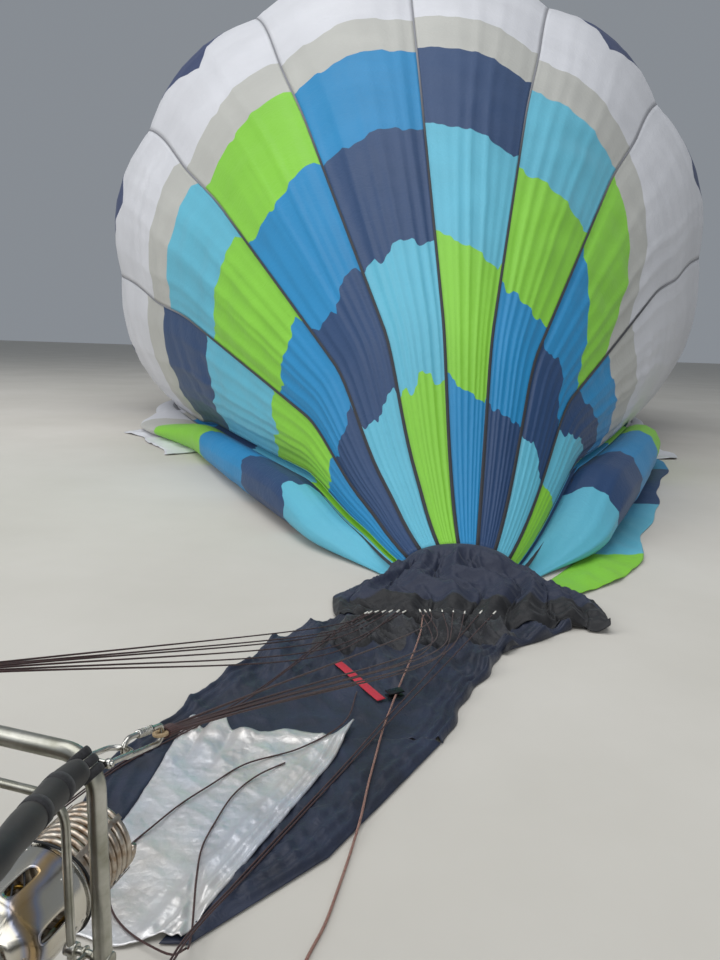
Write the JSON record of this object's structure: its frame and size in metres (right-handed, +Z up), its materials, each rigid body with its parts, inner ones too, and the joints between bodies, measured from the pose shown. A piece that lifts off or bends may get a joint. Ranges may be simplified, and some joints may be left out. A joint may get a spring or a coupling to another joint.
{
  "type": "hot air balloon lying on its side, half deflated",
  "caption": "Hot air balloon on its side, half deflated: gored envelope with mouth band, scoop and parachute vent, lines and carabiners to a gimballed twin burner and a woven basket.",
  "frame": {"origin": "on the ground under the middle of the box round the whole balloon as it lies", "axes": "+Y along the envelope from its mouth to its crown, +X to the right seen from the basket, +Z up"},
  "size_m": [12.6748, 24.991, 9.1125],
  "materials": {
    "gore_cloth": "coated ripstop nylon, satin",
    "load_tape": "woven polyester webbing",
    "vent_cloth": "coated ripstop nylon, satin",
    "mouth_cloth": "flame-proof aramid cloth, matte",
    "scoop_cloth": "flame-proof aramid cloth, matte",
    "heat_panel": "aluminised heat cloth, crinkled",
    "suspension_line": "braided aramid line",
    "vent_rope": "braided polyester rope",
    "bright_steel": "forged and polished",
    "frame_tube": "satin stainless tube",
    "burner_block": "black anodised valve block",
    "burner_can": "bright sheet, heat tinted",
    "burner_coil": "heat-tinted stainless tube",
    "wicker": "woven willow",
    "rim_leather": "stitched hide over foam",
    "floor_wood": "varnished plywood with hardwood runners",
    "tank_aluminium": "spun aluminium",
    "pole_cover": "padded black cover",
    "fuel_hose": "reinforced hose"
  },
  "bodies": {
    "balloon": {"gore_01": "gore_cloth", "gore_02": "gore_cloth", "gore_03": "gore_cloth", "gore_04": "gore_cloth", "gore_05": "gore_cloth", "gore_06": "gore_cloth", "gore_07": "gore_cloth", "gore_08": "gore_cloth", "gore_09": "gore_cloth", "gore_10": "gore_cloth", "gore_11": "gore_cloth", "gore_12": "gore_cloth", "gore_13": "gore_cloth", "gore_14": "gore_cloth", "gore_15": "gore_cloth", "gore_16": "gore_cloth", "load_tapes": "load_tape", "crown_ring": "bright_steel", "mouth_band": "mouth_cloth", "scoop_throat": "scoop_cloth", "scoop_heat_panel": "heat_panel", "scoop_right_side": "scoop_cloth", "scoop_left_side": "scoop_cloth", "corner_links_near_top": "bright_steel", "corner_links_far_top": "bright_steel", "corner_links_near_bottom": "bright_steel", "corner_links_far_bottom": "bright_steel", "suspension_lines_near_top": "suspension_line", "suspension_lines_far_top": "suspension_line", "suspension_lines_near_bottom": "suspension_line", "suspension_lines_far_bottom": "suspension_line", "burner_frame": "frame_tube", "basket_walls": "wicker", "basket_rim_pad": "rim_leather", "basket_floor": "floor_wood", "fuel_tank_near": "tank_aluminium", "fuel_tank_far": "tank_aluminium", "padded_pole_near_top": "pole_cover", "padded_pole_far_top": "pole_cover", "padded_pole_near_bottom": "pole_cover", "padded_pole_far_bottom": "pole_cover", "fuel_hose_near": "fuel_hose", "fuel_hose_far": "fuel_hose", "vent_line": "vent_rope", "slack_line_long": "suspension_line", "slack_line_short": "suspension_line"},
    "gimbal": {"gimbal_ring": "frame_tube"},
    "burners": {"burner_crossbar": "frame_tube", "burner_block_near": "burner_block", "burner_can_near": "burner_can", "burner_coil_near": "burner_coil", "burner_block_far": "burner_block", "burner_can_far": "burner_can", "burner_coil_far": "burner_coil"},
    "vent": {"parachute_vent": "vent_cloth"}
  },
  "joints": [
    {"name": "gimbal_tilt", "type": "hinge", "parent": "balloon", "child": "gimbal", "pos_m": [-1.6486, -10.3909, 0.55], "axis": [0.957, -0.29, 0], "range_deg": [-12, 12], "deforming": ["fuel_hose_near", "fuel_hose_far"]},
    {"name": "burner_tilt", "type": "hinge", "parent": "gimbal", "child": "burners", "pos_m": [-1.6486, -10.3909, 0.55], "axis": [0, 0, 1], "range_deg": [-12, 12]},
    {"name": "vent_slide", "type": "slide", "parent": "balloon", "child": "vent", "axis": [0, -1, 0], "range_m": [0, 1.2]}
  ]
}
